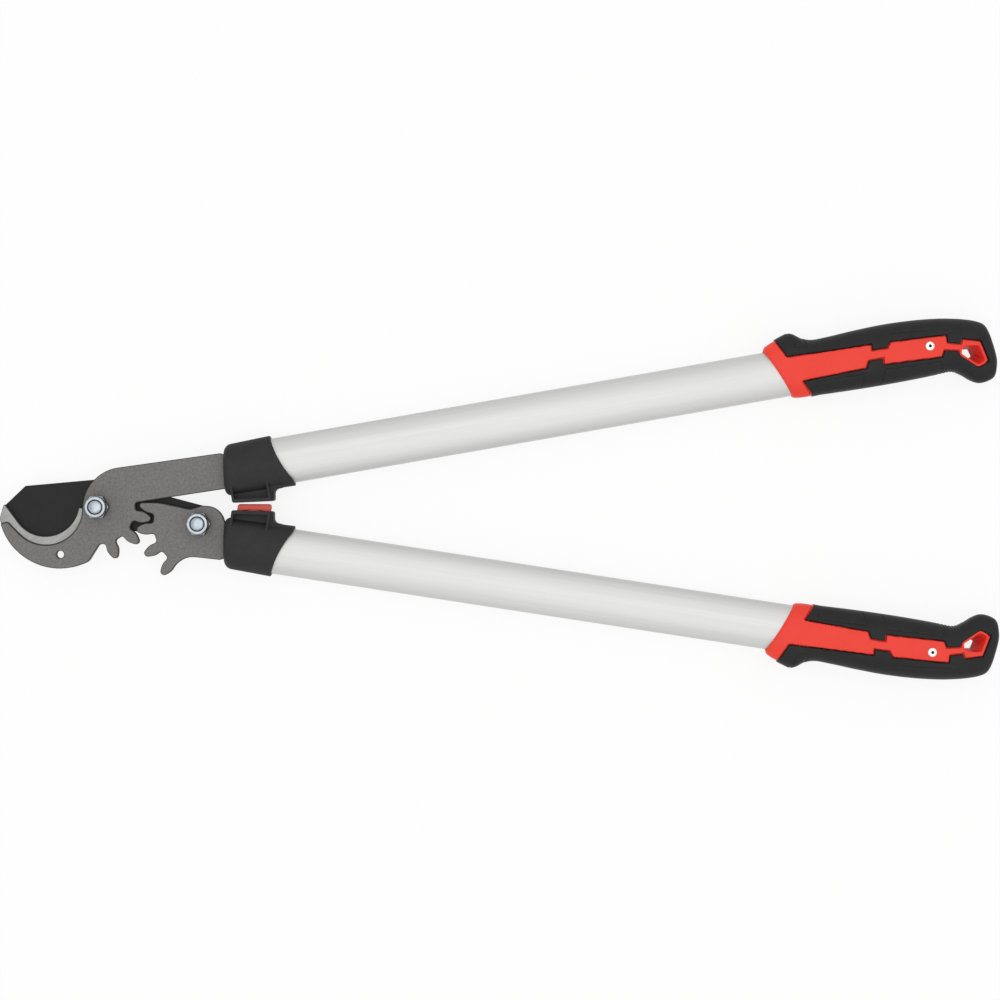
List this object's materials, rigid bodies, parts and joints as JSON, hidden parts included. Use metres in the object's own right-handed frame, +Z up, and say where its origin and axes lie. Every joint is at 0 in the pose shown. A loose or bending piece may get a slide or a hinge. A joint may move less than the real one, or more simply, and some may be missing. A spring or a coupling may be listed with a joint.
{
  "type": "geared bypass lopper",
  "caption": "Long-handled geared bypass lopper: hooked jaw and curved blade on toothed plates, oval tube handles with soft two-tone grips and a rubber bumper.",
  "frame": {"origin": "where the main pivot's axis meets the surface that the lopper lies on, at the outer face of the main bolt's head", "axes": "+X along the lopper from the jaw to the grips, +Y from the lower handle to the upper one, +Z up out of the nuts"},
  "size_m": [0.7487, 0.2708, 0.0297],
  "materials": {
    "coated_steel": "fine textured grey non-stick coating, bright milled bevel",
    "blade_coating": "black non-stick coating, ground edge",
    "zinc_steel": "bright zinc plate",
    "nylon": "blue nylon lock ring",
    "aluminium_tube": "satin drawn aluminium",
    "filler_plastic": "moulded filler",
    "steel_pin": "plain steel",
    "black_plastic": "fine textured moulding",
    "red_rubber": "matt red rubber",
    "red_plastic": "satin red moulding",
    "soft_black": "matt soft overmould"
  },
  "bodies": {
    "hook_side": {"hook_arm": "coated_steel", "main_bolt": "zinc_steel", "main_washer": "zinc_steel", "main_nut": "zinc_steel", "main_nut_ring": "nylon", "upper_tube": "aluminium_tube", "upper_tang_insert": "filler_plastic", "upper_tang_pins": "steel_pin", "upper_ferrule": "black_plastic", "upper_grip_core": "red_plastic", "upper_grip_overmould": "soft_black", "upper_grip_rivet": "zinc_steel"},
    "blade": {"cutting_blade": "blade_coating"},
    "gear_side": {"gear_arm": "coated_steel", "gear_bolt": "zinc_steel", "gear_washer": "zinc_steel", "gear_nut": "zinc_steel", "gear_nut_ring": "nylon", "lower_tube": "aluminium_tube", "lower_tang_insert": "filler_plastic", "lower_tang_pins": "steel_pin", "lower_ferrule": "black_plastic", "bumper": "red_rubber", "lower_grip_core": "red_plastic", "lower_grip_overmould": "soft_black", "lower_grip_rivet": "zinc_steel"}
  },
  "joints": [
    {"name": "blade_swing", "type": "hinge", "parent": "hook_side", "child": "blade", "pos_m": [0, 0, 0.0148], "axis": [0, 0, -1], "range_deg": [-0.45, 55]},
    {"name": "gear_swing", "type": "hinge", "parent": "blade", "child": "gear_side", "pos_m": [0.07596, -0.01259, 0.0148], "axis": [0, 0, -1], "range_deg": [-0.38, 45.84]}
  ],
  "couplings": [
    {"joint": "gear_swing", "follows": "blade_swing", "ratio": 0.83333}
  ]
}
